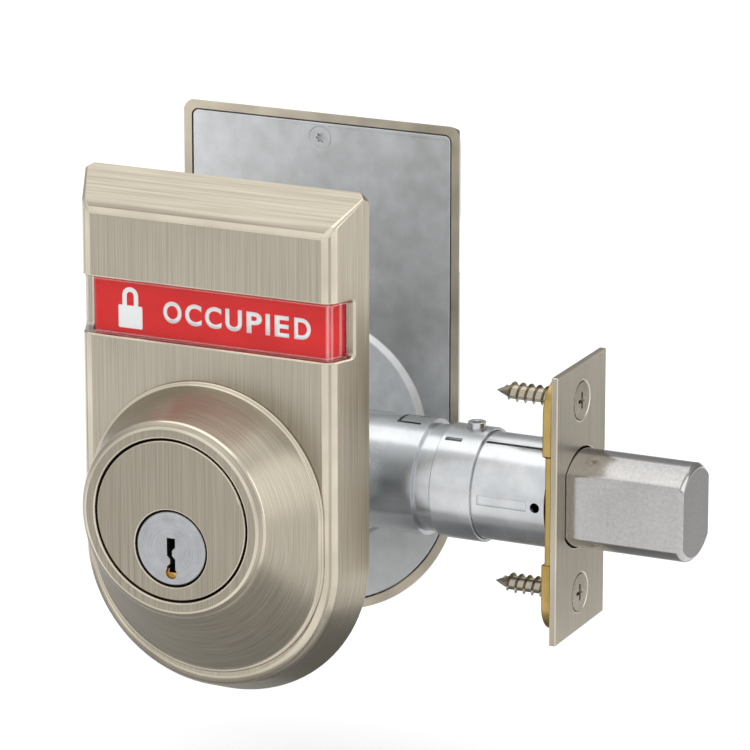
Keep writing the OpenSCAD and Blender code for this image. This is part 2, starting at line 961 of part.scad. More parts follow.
module faceplate() {
    color(nickel)
        difference() {
            translate([face_back, -face_w / 2, -face_h / 2]) cube([face_t, face_w, face_h]);
            edge_plate_cut();
        }
}

// Brass plate with a thick pad behind each screw
module backing_plate() {
    side_gap = 0.25;
    half_w = face_w / 2 - side_gap;
    pad_low = 11.5;
    pad_high = face_h / 2 - 1.8;
    corner = 4;
    color(brass)
        difference() {
            union() {
                translate([face_back - backing_mid_t, side_gap - half_w, -pad_low - 1])
                    cube([backing_mid_t, 2 * (half_w - side_gap), 2 * pad_low + 2]);
                for (side = [0, 1])
                    mirror([0, 0, side])
                        along_x(backing_back, face_back)
                            mirror([1, 0]) {
                                translate([pad_low, -half_w])
                                    square([pad_high - pad_low - corner, 2 * half_w]);
                                translate([pad_low, corner - half_w])
                                    square([pad_high - pad_low, 2 * (half_w - corner)]);
                                for (y = [-1, 1])
                                    translate([pad_high - corner, y * (half_w - corner)]) circle(corner);
                            }
            }
            edge_plate_cut();
        }
}

// Countersunk head and clearance for one faceplate screw
screw_head_t = 2.4;

module screw_form(z, extra) {
    neck = backset - screw_head_t;
    rod(screw_r + extra, neck, backset, 0, z, screw_head_r + extra);
    rod(screw_r + extra, backset - screw_len, neck + skin, 0, z);
}

// Thread, point and Phillips recess of the wood screws
screw_pitch = 2.6;
screw_point = 2.4;
cross_w = 4.6;
cross_t = 0.9;
cross_deep = 1.2;

// Two wood screws: countersunk head, plain neck and a tapering thread
module faceplate_screws() {
    turns = 5;
    core = screw_r - 0.65;
    neck_x = -screw_len + screw_point + turns * screw_pitch;
    color(steel)
        for (side = [-1, 1])
            difference() {
                translate([backset, 0, side * face_screw_gap / 2])
                    rotate([0, 90, 0])
                        rotate_extrude()
                            polygon(concat(
                                [[0, 0], [screw_head_r, 0], [screw_r, -screw_head_t]],
                                [[screw_r, neck_x + screw_pitch / 4]],
                                [for (i = [0:turns - 1], tooth = [0, 1])
                                    let (thin = i < turns - 1 ? 1 : 0.75)
                                        [
                                            tooth == 0 ? core * thin : screw_r * thin,
                                            neck_x - (i + tooth / 2) * screw_pitch
                                        ]],
                                [[core * 0.7, neck_x - turns * screw_pitch], [0, -screw_len]]
                            ));
                translate([backset, 0, side * face_screw_gap / 2])
                    for (turn = [0, 90])
                        rotate([turn, 0, 0])
                            translate([-cross_deep, -cross_w / 2, -cross_t / 2])
                                cube([2 * cross_deep, cross_w, cross_t]);
            }
}

// Pin drilled in lengthwise, so that a saw blade rolls on it
saw_pin_r = 2.5;
saw_pin_z = -4;
saw_pin_cap = 3;

// Heights of the bolt's tongue and tail
tongue_low = -0.5;
tail_low = 1.5;
tail_high = 8;
yoke_top = housing_r - case_wall;

module deadbolt() {
    end = backset + bolt_out;
    color(steel)
        difference() {
            union() {
                intersection() {
                    along_x(bolt_rear, end) bolt_outline(0);
                    rod(
                        bolt_r + end - bolt_rear - bolt_bevel, bolt_rear, end, 0, 0,
                        bolt_r - bolt_bevel
                    );
                    along_y_taper(end);
                }
                translate([tongue_rear, skin - cheek_in, tongue_low])
                    cube([bolt_rear - tongue_rear + 1, 2 * (cheek_in - skin), tail_high - tongue_low]);
            }
            rod(saw_pin_r + run / 2, bolt_rear - 1, end - saw_pin_cap, 0, saw_pin_z);
            tail_rivet_bar(run, bolt_half);
        }
}

// Bevels the bolt's end along its two flats
module along_y_taper(end) {
    linear_extrude(4 * bolt_r, center = true)
        polygon([
            [bolt_rear - 1, -bolt_half - 1], [end - bolt_bevel, -bolt_half - 1],
            [end - bolt_bevel, -bolt_half], [end, bolt_bevel - bolt_half],
            [end, bolt_half - bolt_bevel], [end - bolt_bevel, bolt_half],
            [end - bolt_bevel, bolt_half + 1], [bolt_rear - 1, bolt_half + 1]
        ]);
}

module anti_saw_pin() {
    color(steel)
        rod(saw_pin_r, bolt_rear + saw_pin_cap, backset + bolt_out - saw_pin_cap - slide, 0, saw_pin_z);
}

// Rivet through the tongue and the two cheeks
rivet_x = tongue_rear + 5;
rivet_z = 4.5;
rivet_r = 1.5;

module tail_rivet_bar(extra, half) {
    translate([rivet_x, 0, rivet_z])
        rotate([90, 0, 0])
            cylinder(r = rivet_r + extra, h = 2 * half, center = true);
}

module tail_rivet() {
    color(steel) tail_rivet_bar(0, cheek_out);
}

// Prongs of the yoke, and the web that joins the two cheeks
prong_w = 2;
web_gap = 3;
web_h = 4.5;

// Two cheeks with an upright open yoke for the crank's pin, joined by a web
module bolt_tail() {
    yoke_w = yoke_half + prong_w;
    slot_low = crank_pin_z - crank_pin_r - slide;
    color(zinc)
        difference() {
            union() {
                for (side = [-1, 1])
                    translate([0, side * (cheek_in + cheek_out) / 2, 0])
                        rotate([90, 0, 0])
                            linear_extrude(cheek_out - cheek_in, center = true)
                                polygon([
                                    [crank_swing - yoke_w, tail_low],
                                    [bolt_rear - slide, tail_low],
                                    [bolt_rear - slide, tail_high],
                                    [crank_swing + yoke_w, tail_high],
                                    [crank_swing + yoke_w, yoke_top],
                                    [crank_swing - yoke_w, yoke_top]
                                ]);
                translate([case_front + web_gap, -cheek_in - skin, tail_low])
                    cube([tongue_rear - case_front - 2 * web_gap, 2 * (cheek_in + skin), web_h]);
            }
            translate([crank_swing - yoke_half, -far / 2, slot_low]) cube([2 * yoke_half, far, far]);
            tail_rivet_bar(run, bolt_half);
        }
}

// Pressed groove, vent hole and open seam of the front tube
groove_len = 11;
groove_h = 2;
groove_deep = 0.3;
vent_r = 1;
vent_x = backing_back - vent_gap;
seam_w = 0.7;
seam_len = 16;
seam_turn = 69;

module front_tube() {
    color(zinc)
        difference() {
            rod(tube_r, tube_rear, backing_back);
            rod(tube_r - tube_wall, tube_rear - 1, backing_back + 1);
            translate([vent_x - 2 * vent_r - groove_len, -tube_r - groove_deep, -groove_h / 2])
                cube([groove_len, 2 * groove_deep, groove_h]);
            translate([vent_x, 0, 0])
                rotate([90, 0, 0])
                    cylinder(r = vent_r, h = far);
            rotate([-seam_turn, 0, 0])
                translate([backing_back - seam_len, -tube_r - tube_wall, -seam_w / 2])
                    cube([seam_len + 1, 2.5 * tube_wall, seam_w]);
        }
}

// Small slot in the collar
notch_len = 3.6;
notch_w = 1;
notch_turn = 62;

module backset_collar() {
    color(zinc)
        difference() {
            rod(collar_r, collar_x, collar_x + collar_len);
            rod(tube_r + run, collar_x - 1, collar_x + collar_len + 1);
            translate([stud_x, 0, 0]) cylinder(r = stud_r + run, h = far);
            rotate([-notch_turn, 0, 0])
                translate([collar_x + notch_w, -collar_r - 1, -notch_w / 2])
                    cube([notch_len, collar_wall + 2, notch_w]);
        }
}

// Tubular stud on top of the collar
stud_x = collar_x + 5.6;
stud_r = 1.9;
stud_bore_r = 0.9;
stud_h = 1.2;

module collar_stud() {
    color(zinc)
        translate([stud_x, 0, tube_r + run])
            difference() {
                cylinder(r = stud_r, h = collar_r - tube_r + stud_h);
                translate([0, 0, collar_r - tube_r]) cylinder(r = stud_bore_r, h = far);
            }
}

// Outline of the flat-sided case, seen along X
module case_outline(r, half) {
    intersection() {
        circle(r);
        square([2 * r, 2 * half], center = true);
    }
}

// Round sleeve over the front tube, with a flat-sided case for the crank behind it
module rear_housing() {
    top_half = cheek_out + 0.4;
    tab_half = 2.6;
    color(zinc)
        difference() {
            union() {
                along_x(case_rear, case_front + 0.5) case_outline(housing_r, case_half);
                rod(housing_r, case_front, housing_front);
            }
            along_x(case_rear - 1, case_front + 2) case_outline(housing_r - case_wall, case_half - case_wall);
            rod(tube_r + run, case_front + case_wall, housing_front + 1);
            translate([case_rear - 1, -top_half, 0]) cube([case_front - case_rear + 1, 2 * top_half, far]);
            translate([0, 0, spindle_z])
                rotate([90, 0, 0])
                    cylinder(r = hub_r + run, h = 4 * case_half, center = true);
            for (side = [-1, 1])
                translate([housing_front - 7, side * tab_half - 0.35, tube_r]) cube([5, 0.7, far]);
            translate([housing_front - 7.35, -tab_half - 0.35, tube_r]) cube([0.7, 2 * tab_half + 0.7, far]);
        }
}

// Hub, arm and pin that throw the bolt
module bolt_crank() {
    color(zinc)
        difference() {
            union() {
                translate([0, 0, spindle_z]) {
                    rotate([90, 0, 0]) cylinder(r = hub_r, h = 2 * case_half + 0.4, center = true);
                    rotate([0, 45, 0])
                        translate([-arm_w / 2, -arm_half, 0]) cube([arm_w, 2 * arm_half, crank_r]);
                }
                translate([crank_swing, 0, crank_pin_z])
                    rotate([90, 0, 0])
                        cylinder(r = crank_pin_r, h = 2 * crank_pin_half, center = true);
            }
            outside() tail_slot(-door_t, 0);
        }
}

outside_escutcheon();
cylinder_collar();
outside_lens();
outside_carrier();
outside_red_label();
outside_green_label();
outside_back_plate();
outside_plate_screws();
cylinder_shell();
key_plug();
bottom_pins();
driver_pins();
pin_springs();
spring_cover();
plug_cap();
tailpiece();
outside_crank();
inside_escutcheon();
inside_lens();
inside_carrier();
inside_red_label();
inside_green_label();
inside_back_plate();
inside_plate_screws();
thumbturn_rose();
thumbturn();
thumbturn_clip();
inside_crank();
through_bolts();
faceplate();
backing_plate();
faceplate_screws();
deadbolt();
anti_saw_pin();
bolt_tail();
tail_rivet();
front_tube();
backset_collar();
collar_stud();
rear_housing();
bolt_crank();
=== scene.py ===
import math

import bmesh
import bpy
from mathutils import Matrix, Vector


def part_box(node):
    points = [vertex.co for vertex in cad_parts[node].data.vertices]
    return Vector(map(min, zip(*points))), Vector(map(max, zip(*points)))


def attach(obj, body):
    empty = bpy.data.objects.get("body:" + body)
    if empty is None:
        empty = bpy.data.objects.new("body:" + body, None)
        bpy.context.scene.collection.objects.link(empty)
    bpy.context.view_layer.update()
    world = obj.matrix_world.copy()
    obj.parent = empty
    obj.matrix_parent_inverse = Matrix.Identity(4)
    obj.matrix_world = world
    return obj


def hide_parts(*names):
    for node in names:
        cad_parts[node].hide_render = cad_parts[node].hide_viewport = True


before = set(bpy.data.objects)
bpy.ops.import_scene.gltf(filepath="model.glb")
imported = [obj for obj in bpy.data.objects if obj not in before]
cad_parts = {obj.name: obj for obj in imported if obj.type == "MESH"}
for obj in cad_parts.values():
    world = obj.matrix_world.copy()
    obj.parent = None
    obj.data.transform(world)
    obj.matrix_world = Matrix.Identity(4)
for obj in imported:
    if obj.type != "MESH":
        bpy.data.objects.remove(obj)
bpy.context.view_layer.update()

# The outside escutcheon: a drafted casting with a round lower end and a window across its front.
# It is plated in satin nickel and brushed from top to bottom, and the polishing wheel has rounded
# its edges, which are smoother than the faces and painted lighter: a painted highlight. The
# cylinder's shoulder clamps it to the door.
MM = 0.001
MERGE = 0.03
FLAT_ANGLE = math.radians(1)
SHARP_ANGLE = math.radians(30)
SMOOTH_ANGLE = math.radians(35)
ROUND_STEPS = 3
HIDDEN_Y = 24.4
TRIM_FACE_Y = 30.0
TRIM_SIDE_X = 24.0
TRIM_END_R = 26.0
TOP_SLOPE_H = 9.0
WINDOW_MARGIN = 1.5
WINDOW_EDGE = 0.4
OUTLINE_EDGE = 0.75


class Tone:
    """One socket of a finish. Sums on tones add Math nodes, and node() adds any other kind."""

    def __init__(self, tree, socket):
        self.tree = tree
        self.socket = socket

    def feed(self, place, value):
        if isinstance(value, Tone):
            self.tree.links.new(value.socket, place)
        else:
            place.default_value = value

    def node(self, kind, settings, values, out=0):
        made = self.tree.nodes.new("ShaderNode" + kind)
        for name, setting in settings.items():
            if name == "stops":
                stops = made.color_ramp.elements
                stops.remove(stops[1])
                stops[0].position = setting[0][0]
                stops[0].color = (*setting[0][1], 1)
                for place, colour in setting[1:]:
                    stops.new(place).color = (*colour, 1)
            else:
                setattr(made, name, setting)
        for name, value in values.items():
            self.feed(made.inputs[name], value)
        return Tone(self.tree, made.outputs[out])

    def maths(self, operation, first, second):
        return self.node("Math", {"operation": operation}, {0: first, 1: second})

    def __add__(self, other):
        return self.maths("ADD", self, other)

    __radd__ = __add__

    def __sub__(self, other):
        return self.maths("SUBTRACT", self, other)

    def __rsub__(self, other):
        return self.maths("SUBTRACT", other, self)

    def __mul__(self, other):
        return self.maths("MULTIPLY", self, other)

    __rmul__ = __mul__

    def __pow__(self, other):
        return self.maths("POWER", self, other)

    def __rpow__(self, other):
        return self.maths("POWER", other, self)


def new_finish(name):
    """An empty finish, and the place on the piece in metres."""
    made = bpy.data.materials.new(name)
    made.use_nodes = True
    return made, Tone(made.node_tree, None).node("TexCoord", {}, {}, "Object")


def shade(made, place, values):
    """Feeds a finish's shader with tones and plain values."""
    shader = made.node_tree.nodes["Principled BSDF"]
    for name, value in values.items():
        place.feed(shader.inputs[name], value)


def grain(place, scale, detail=3.0):
    """Noise from 0 to 1, drawn out along the axes whose scale is small."""
    drawn = place.node("Mapping", {}, {"Vector": place, "Scale": scale})
    return place.node("TexNoise", {}, {"Vector": drawn, "Scale": 1.0, "Detail": detail})


def ramp(amount, *stops):
    """A colour picked from stops by an amount."""
    return amount.node("ValToRGB", {"stops": stops}, {"Fac": amount})


def relief(height, strength, depth):
    """A surface that rises and falls with height, for the Normal socket."""
    return height.node("Bump", {}, {"Height": height, "Strength": strength, "Distance": depth})


def brushed_nickel(name, brush, light=1.0, gloss=0.30):
    """Warm satin nickel with fine lines along the axes where brush is small."""
    made, place = new_finish(name)
    fine = grain(place, brush, 2.0)
    broad = grain(place, [b * 0.4 for b in brush], 2.0)
    cloud = grain(place, (45, 45, 45), 2.0)
    lines = fine * 0.76 + broad * 0.07 + cloud * 0.17
    dark = [c * light for c in (0.315, 0.282, 0.222)]
    pale = [c * light for c in (0.515, 0.468, 0.378)]
    shade(made, place, {
        "Base Color": ramp(lines, (0.28, dark), (0.72, pale)),
        "Roughness": gloss - 0.06 + lines * 0.16,
        "Normal": relief(fine, 0.35, 0.00005),
        "Metallic": 1.0,
    })
    return made


def take(piece):
    """Selects a piece alone, and makes it the active one."""
    bpy.ops.object.select_all(action="DESELECT")
    piece.select_set(True)
    bpy.context.view_layer.objects.active = piece


def smoothed(piece):
    """Shades the active piece smooth, with its flat faces kept flat."""
    bpy.ops.mesh.customdata_custom_splitnormals_clear()
    bpy.ops.object.shade_smooth_by_angle(angle=SMOOTH_ANGLE)
    even = piece.modifiers.new("even shading", "WEIGHTED_NORMAL")
    even.keep_sharp = True
    bpy.ops.object.modifier_apply(modifier=even.name)


def rounded(piece, edge, rim, where=None):
    """Rounds the sharp edges of a piece in edit mode, or those that where picks by their middle."""
    bpy.ops.mesh.select_mode(type="EDGE")
    bpy.ops.mesh.select_all(action="DESELECT")
    bpy.ops.mesh.edges_select_sharp(sharpness=SHARP_ANGLE)
    mesh = bmesh.from_edit_mesh(piece.data)
    for line in mesh.edges:
        middle = (line.verts[0].co + line.verts[1].co) / 2
        if where and not where(middle / MM):
            line.select_set(False)
    bmesh.update_edit_mesh(piece.data)
    bpy.ops.mesh.bevel(
        offset=edge * MM, segments=ROUND_STEPS, clamp_overlap=False, material=1 if rim else -1
    )


def dressed(node, body, slot, finish, edge=0.0, rim=None, where=None):
    """A merged copy of a CAD node with its sharp edges rounded, which stands for the node."""
    piece = bpy.data.objects.new(node + "_dressed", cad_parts[node].data.copy())
    bpy.context.scene.collection.objects.link(piece)
    take(piece)
    piece.data.materials.clear()
    piece.data.materials.append(finish)
    if rim:
        piece.data.materials.append(rim)
    bpy.ops.object.mode_set(mode="EDIT")
    bpy.ops.mesh.select_mode(type="EDGE")
    bpy.ops.mesh.select_all(action="SELECT")
    bpy.ops.mesh.remove_doubles(threshold=MERGE * MM)
    bpy.ops.mesh.dissolve_limited(angle_limit=FLAT_ANGLE)
    if edge:
        rounded(piece, edge, rim, where)
    bpy.ops.object.mode_set(mode="OBJECT")
    smoothed(piece)
    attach(piece, body)
    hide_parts(node)
    return piece


def refinished(piece, finish, chosen):
    """Gives faces of the first finish another one, chosen by their place and normal."""
    piece.data.materials.append(finish)
    for face in piece.data.polygons:
        if face.material_index == 0 and chosen(face.center / MM, face.normal):
            face.material_index = len(piece.data.materials) - 1


upright_nickel = brushed_nickel("nickel_brushed_upright", (5200, 160, 34))
wall_nickel = brushed_nickel("nickel_brushed_wall", (34, 5200, 34))
slope_nickel = brushed_nickel("nickel_brushed_across", (30, 1500, 1500))
# The rounded edges take a smoother nickel that is also painted lighter than the faces: a painted
# highlight along every edge that is given it.
polished_edge_painted_highlight = brushed_nickel("nickel_polished_edge", (70, 70, 70), light=1.45, gloss=0.20)


def cast_trim(side):
    """An escutcheon: its outline is rounded more than the window, and its top is brushed across."""
    low, high = (corner.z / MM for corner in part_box(side + "_lens"))
    foot, crown = (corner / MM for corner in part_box(side + "_escutcheon"))
    end_z = foot.z + crown.x

    def on_outline(p):
        if low - WINDOW_MARGIN < p.z < high + WINDOW_MARGIN or abs(p.y) < HIDDEN_Y:
            return False
        on_face = abs(p.y) > TRIM_FACE_Y
        if p.z < end_z:
            return on_face and math.hypot(p.x, p.z - end_z) > TRIM_END_R
        return abs(p.x) > TRIM_SIDE_X or on_face and p.z > crown.z - TOP_SLOPE_H

    piece = dressed(
        side + "_escutcheon", "housing", "satin_nickel", upright_nickel,
        edge=WINDOW_EDGE, rim=polished_edge_painted_highlight,
        where=lambda p: abs(p.y) > HIDDEN_Y and not on_outline(p),
    )
    bpy.ops.object.mode_set(mode="EDIT")
    rounded(piece, OUTLINE_EDGE, polished_edge_painted_highlight, on_outline)
    bpy.ops.object.mode_set(mode="OBJECT")
    smoothed(piece)
    refinished(piece, slope_nickel, lambda p, n: n.z > 0.5 and p.z > crown.z - TOP_SLOPE_H)
    refinished(piece, wall_nickel, lambda p, n: abs(n.y) < 0.6)
    return piece


cast_trim("outside")

# The guard round the cylinder: a cone turned from bar, oval at its foot and round at its front.
# It is plated as the escutcheon is, but its brushing runs round it, as the lathe left it. It has a
# low step at the foot, and the cylinder's shoulder holds it against the escutcheon.
FOOT_R = 26.9
FOOT_STEP = 0.8
FRONT_R = 20.8
FRONT_Z = -0.65
FRONT_LIP = 1.2
BORE_R = 17.35
BORE_DEPTH = 9.3
BACK_BORE_R = 18.9
GUARD_EDGE = 0.35
GUARD_SHARP_ANGLE = math.radians(25)
CLOSE = 0.01
guard_low, guard_high = (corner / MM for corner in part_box("cylinder_collar"))
FACE_Y = guard_high.y
FRONT_Y = guard_low.y
FOOT_Z = guard_low.z + FOOT_R
FOOT_STRETCH = guard_high.z - guard_low.z - 2 * FOOT_R


def widened(factor, y, z):
    """Scales the selected ring about its own centre."""
    bpy.ops.transform.resize(value=(factor, 1, factor), center_override=(0, y * MM, z * MM))


def drawn_out(y=0.0, z=0.0):
    """Extrudes the selected ring, and moves the new one."""
    bpy.ops.mesh.extrude_region_move(TRANSFORM_OT_translate={"value": (0, y * MM, z * MM)})


def settled():
    """Puts the active piece's place, turn and scale into its mesh."""
    bpy.ops.object.transform_apply(location=True, rotation=True, scale=True)


def pick_points(piece, chosen):
    """Selects the points of a piece in edit mode that are chosen by their place in millimetres."""
    bpy.ops.mesh.select_mode(type="VERT")
    bpy.ops.mesh.select_all(action="DESELECT")
    mesh = bmesh.from_edit_mesh(piece.data)
    for point in mesh.verts:
        point.select_set(chosen(point.co / MM))
    mesh.select_flush(True)
    bmesh.update_edit_mesh(piece.data)


turned_nickel = brushed_nickel("nickel_brushed_round", (90, 5200, 90), gloss=0.34)
face_nickel = brushed_nickel("nickel_brushed_cylinder", (5200, 160, 34), light=0.8)
bpy.ops.object.select_all(action="DESELECT")
bpy.ops.mesh.primitive_circle_add(
    vertices=144, radius=FOOT_R * MM,
    location=(0, FACE_Y * MM, FOOT_Z * MM), rotation=(math.pi / 2, 0, 0),
)
guard = bpy.context.object
guard.name = "cylinder_guard"
settled()
bpy.ops.object.mode_set(mode="EDIT")
bpy.ops.mesh.select_all(action="SELECT")
drawn_out(-FOOT_STEP)
drawn_out()
widened((FOOT_R - FOOT_STEP) / FOOT_R, FACE_Y - FOOT_STEP, FOOT_Z)
drawn_out(FRONT_Y + FRONT_LIP - FACE_Y + FOOT_STEP, FRONT_Z - FOOT_Z)
widened(FRONT_R / (FOOT_R - FOOT_STEP), FRONT_Y + FRONT_LIP, FRONT_Z)
drawn_out(-FRONT_LIP)
widened((FRONT_R - FRONT_LIP) / FRONT_R, FRONT_Y, FRONT_Z)
pick_points(guard, lambda p: p.y > FACE_Y - FOOT_STEP - CLOSE and p.z > FOOT_Z + CLOSE)
bpy.ops.transform.translate(value=(0, 0, FOOT_STRETCH * MM))
pick_points(guard, lambda p: p.y < FRONT_Y + CLOSE)
drawn_out()
widened(BORE_R / (FRONT_R - FRONT_LIP), FRONT_Y, FRONT_Z)
drawn_out(BORE_DEPTH)
drawn_out()
widened(BACK_BORE_R / BORE_R, FRONT_Y + BORE_DEPTH, FRONT_Z)
drawn_out(FACE_Y - FRONT_Y - BORE_DEPTH)
bpy.ops.mesh.select_mode(type="EDGE")
bpy.ops.mesh.select_all(action="DESELECT")
bpy.ops.mesh.select_non_manifold()
bpy.ops.mesh.bridge_edge_loops()
bpy.ops.mesh.select_all(action="SELECT")
bpy.ops.mesh.normals_make_consistent(inside=False)
bpy.ops.mesh.select_all(action="DESELECT")
bpy.ops.mesh.edges_select_sharp(sharpness=GUARD_SHARP_ANGLE)
mesh = bmesh.from_edit_mesh(guard.data)
for line in mesh.edges:
    if all(abs(point.co.y / MM - FRONT_Y - FRONT_LIP) < CLOSE for point in line.verts):
        line.select_set(True)
bmesh.update_edit_mesh(guard.data)
guard.data.materials.append(turned_nickel)
# the guard's rounded edges get the lighter edge nickel, a painted highlight
guard.data.materials.append(polished_edge_painted_highlight)
bpy.ops.mesh.bevel(offset=GUARD_EDGE * MM, segments=ROUND_STEPS, clamp_overlap=False, material=1)
bpy.ops.object.mode_set(mode="OBJECT")
bpy.ops.object.shade_smooth_by_angle(angle=SMOOTH_ANGLE)
# The bore behind the guard's front and the wall round the plug get a near-black finish: painted
# shade, standing for the shadow deep in the gaps. Its mottle is only a slight unevenness.
painted_bore_shade, place = new_finish("painted_bore_shade")
bore_shade_mottle = grain(place, (300, 300, 300), 3.0)
shade(painted_bore_shade, place, {
    "Base Color": ramp(bore_shade_mottle, (0.3, (0.010, 0.009, 0.008)), (0.7, (0.030, 0.027, 0.022))),
    "Roughness": 0.5 + bore_shade_mottle * 0.3,
    "Normal": relief(bore_shade_mottle, 0.2, 0.0001),
})
refinished(guard, face_nickel, lambda p, n: n.y < -0.95 and p.y < FRONT_Y + 0.1)
refinished(
    guard, painted_bore_shade,
    lambda p, n: math.hypot(p.x, p.z - FRONT_Z) < BACK_BORE_R + 0.05 and p.y > FRONT_Y + 0.4,
)
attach(guard, "housing")
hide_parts("cylinder_collar")

# The two window lenses: clear acrylic bands bent round the front and both sides of an escutcheon.
# They are moulded, with rounded ends, and snap into the slot from behind.
LENS_EDGE = 0.3
EDGE_SHEEN = 0.16


def acrylic(name, sheen):
    """Clear acrylic: light goes through it, and it mirrors a share that grows at the edges."""
    made, place = new_finish(name)
    haze = grain(place, (180, 180, 180), 2.0)
    facing = place.node("LayerWeight", {}, {"Blend": 0.5}, "Facing")
    mirrored = 0.04 + facing ** 5 * 0.96
    shade(made, place, {
        "Base Color": ramp(haze, (0.3, (0.93, 0.95, 0.95)), (0.7, (0.99, 0.99, 0.99))),
        "Roughness": 0.02 + haze * 0.05,
        "Normal": relief(grain(place, (60, 60, 60), 1.0), 0.04, 0.0004),
        "Alpha": mirrored * 0.28 + haze * 0.005 + sheen,
        "Metallic": 1.0,
    })
    return made


clear_acrylic = acrylic("clear_acrylic", 0.0)
acrylic_edge = acrylic("clear_acrylic_edge", EDGE_SHEEN)
for side in ("outside", "inside"):
    dressed(
        side + "_lens", "housing", "clear_lens", clear_acrylic, edge=LENS_EDGE, rim=acrylic_edge
    )

# The four state labels: folded strips of coloured plastic, red below and green above, on a carrier
# that the cranks lift. Each is printed in white with a padlock and the state of the room.
LABEL_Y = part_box("outside_red_label")[0].y / MM
LABEL_MID = 6.1
LABEL_FOLD_Y = 26.9
FOLD_OUT = 0.9
FOLD_ON = 2.2
PRINT_T = 0.05
PRINT_MERGE = 0.002
TYPE_SIZE = 6.0
TYPE_WEIGHT = 0.17
CAPITAL_H = 4.5
ROUND_CAPITAL_H = 4.62
OCCUPIED_X = -10.7
VACANT_X = -8.6
LOCK_X = -18.3
LOCK_DROP = 4.45
LOCK_W = 5.5
LOCK_H = 4.8
LOCK_CORNER = 0.25
HOOP_R = 1.32
HOOP_W = 1.0
LEG_H = 2.1
SHORT_LEG_H = 0.9


def printed_plastic(name, deep, bright):
    """Smooth coloured plastic with faint flow marks."""
    made, place = new_finish(name)
    flow = grain(place, (90, 90, 220), 2.0)
    shade(made, place, {
        "Base Color": ramp(flow, (0.25, deep), (0.75, bright)),
        "Roughness": 0.28 + flow * 0.14,
        "Normal": relief(grain(place, (2600, 2600, 2600), 2.0), 0.06, 0.00002),
        "Specular IOR Level": 0.06,
    })
    return made


label_red = printed_plastic("label_red", (0.66, 0.010, 0.010), (0.76, 0.015, 0.014))
label_green = printed_plastic("label_green", (0.012, 0.24, 0.055), (0.022, 0.34, 0.085))
print_white = printed_plastic("print_white", (0.86, 0.90, 0.90), (0.93, 0.95, 0.95))


def thickened(piece):
    """Gives a flat sign its thickness, towards -Y, and leaves it closed."""
    take(piece)
    bpy.ops.object.mode_set(mode="EDIT")
    bpy.ops.mesh.select_all(action="SELECT")
    bpy.ops.mesh.remove_doubles(threshold=PRINT_MERGE * MM)
    bpy.ops.mesh.normals_make_consistent(inside=False)
    drawn_out(-2 * PRINT_T)
    bpy.ops.mesh.select_all(action="SELECT")
    bpy.ops.mesh.normals_make_consistent(inside=False)
    bpy.ops.object.mode_set(mode="OBJECT")


def state_word(name, letters, x, z):
    """A row of bold capitals, set flat on the outside label from x on, each with its width."""
    word = []
    for sign, width, gap in letters:
        bpy.ops.object.select_all(action="DESELECT")
        bpy.ops.object.text_add(location=(0, 0, 0))
        letter = bpy.context.object
        letter.data.body = sign
        letter.data.size = TYPE_SIZE * MM
        letter.data.offset = TYPE_WEIGHT * MM
        letter.data.resolution_u = 8
        bpy.ops.object.convert(target="MESH")
        letter = bpy.context.object
        low = Vector([min(v.co[i] for v in letter.data.vertices) for i in range(2)])
        high = Vector([max(v.co[i] for v in letter.data.vertices) for i in range(2)])
        tall = ROUND_CAPITAL_H if sign in "OCU" else CAPITAL_H
        stretch = (width * MM / (high.x - low.x), tall * MM / (high.y - low.y))
        letter.scale = (*stretch, 1)
        settled()
        letter.rotation_euler = (math.pi / 2, 0, 0)
        letter.location = (
            x * MM - low.x * stretch[0], (LABEL_Y + PRINT_T) * MM,
            z * MM - (low.y + high.y) / 2 * stretch[1],
        )
        settled()
        word.append(letter)
        x += width + gap
    take(word[0])
    for letter in word:
        letter.select_set(True)
    bpy.ops.object.join()
    word[0].name = name
    thickened(word[0])
    return word[0]


def padlock(name, x, low_z, raised):
    """A padlock sign: a square body and a hooped shackle, which is lifted clear when raised."""
    y = LABEL_Y + PRINT_T
    leg = LEG_H + raised
    upright = (math.pi / 2, 0, 0)
    bpy.ops.object.select_all(action="DESELECT")
    middle = (x * MM, y * MM, (low_z + LOCK_H / 2) * MM)
    bpy.ops.mesh.primitive_plane_add(size=1, location=middle, rotation=upright)
    piece = bpy.context.object
    piece.name = name
    piece.scale = (LOCK_W * MM, LOCK_H * MM, 1)
    settled()
    bpy.ops.object.mode_set(mode="EDIT")
    bpy.ops.mesh.select_all(action="SELECT")
    bpy.ops.mesh.bevel(offset=LOCK_CORNER * MM, affect="VERTICES", segments=ROUND_STEPS)
    bpy.ops.mesh.select_all(action="DESELECT")
    bpy.ops.object.mode_set(mode="OBJECT")
    # the shackle: one leg, spun round to the other
    middle = ((x + HOOP_R) * MM, y * MM, (low_z + LOCK_H + leg / 2) * MM)
    bpy.ops.mesh.primitive_plane_add(size=1, location=middle, rotation=upright)
    hoop = bpy.context.object
    hoop.scale = (HOOP_W * MM, leg * MM, 1)
    settled()
    top = low_z + LOCK_H + leg
    bpy.ops.object.mode_set(mode="EDIT")
    pick_points(hoop, lambda p: p.z > top - CLOSE)
    bpy.ops.mesh.spin(steps=16, angle=math.pi, center=(x * MM, y * MM, top * MM), axis=(0, 1, 0))
    drawn_out(z=-SHORT_LEG_H if raised else -LEG_H)
    bpy.ops.object.mode_set(mode="OBJECT")
    thickened(hoop)
    thickened(piece)
    hoop.select_set(True)
    bpy.ops.object.join()
    return piece


